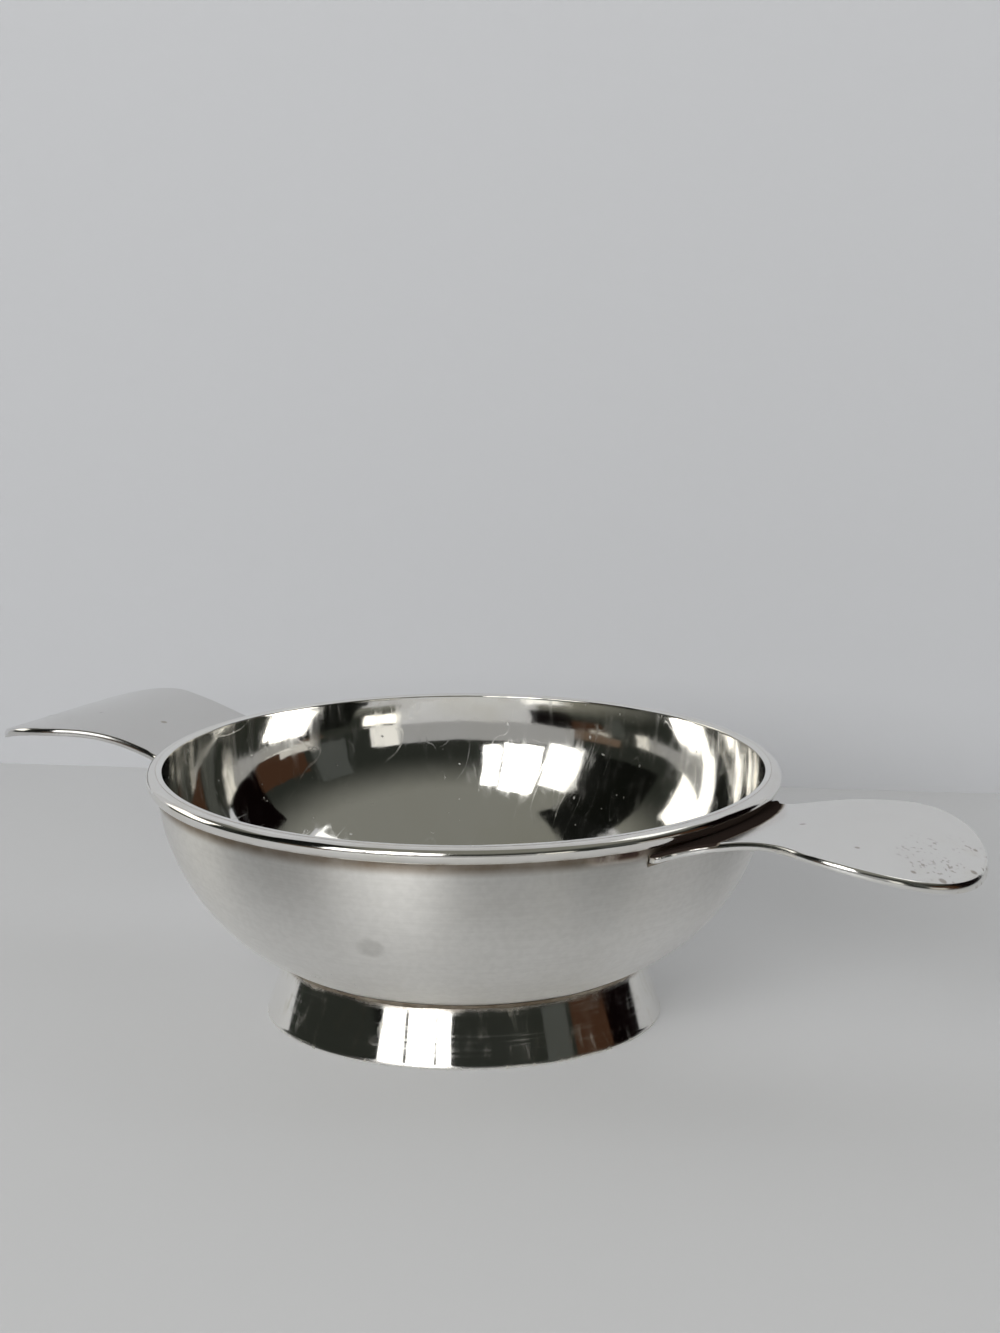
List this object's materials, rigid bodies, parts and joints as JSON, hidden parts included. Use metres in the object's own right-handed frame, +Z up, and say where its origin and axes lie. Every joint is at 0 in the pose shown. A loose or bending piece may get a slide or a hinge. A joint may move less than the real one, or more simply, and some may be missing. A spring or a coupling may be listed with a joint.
{
  "type": "quaich",
  "caption": "Shallow round drinking bowl in polished silver, with a half-round wire rim, a flared ring foot and flat paddle-shaped lugs on opposite sides for holding it.",
  "frame": {"origin": "centre of the foot's base, on the table", "axes": "+Z up along the bowl's axis, +X out along the right-hand lug as the picture shows it, +Y away from the viewer"},
  "size_m": [0.1776, 0.1, 0.0402],
  "materials": {
    "silver": "polished silver",
    "solder": "tarnished silver solder"
  },
  "bodies": {
    "root": {"bowl": "silver", "rim_wire": "silver", "rim_solder": "solder", "foot_ring": "silver", "foot_solder": "solder", "right_lug": "silver", "right_lug_solder": "solder", "left_lug": "silver", "left_lug_solder": "solder"}
  },
  "joints": []
}
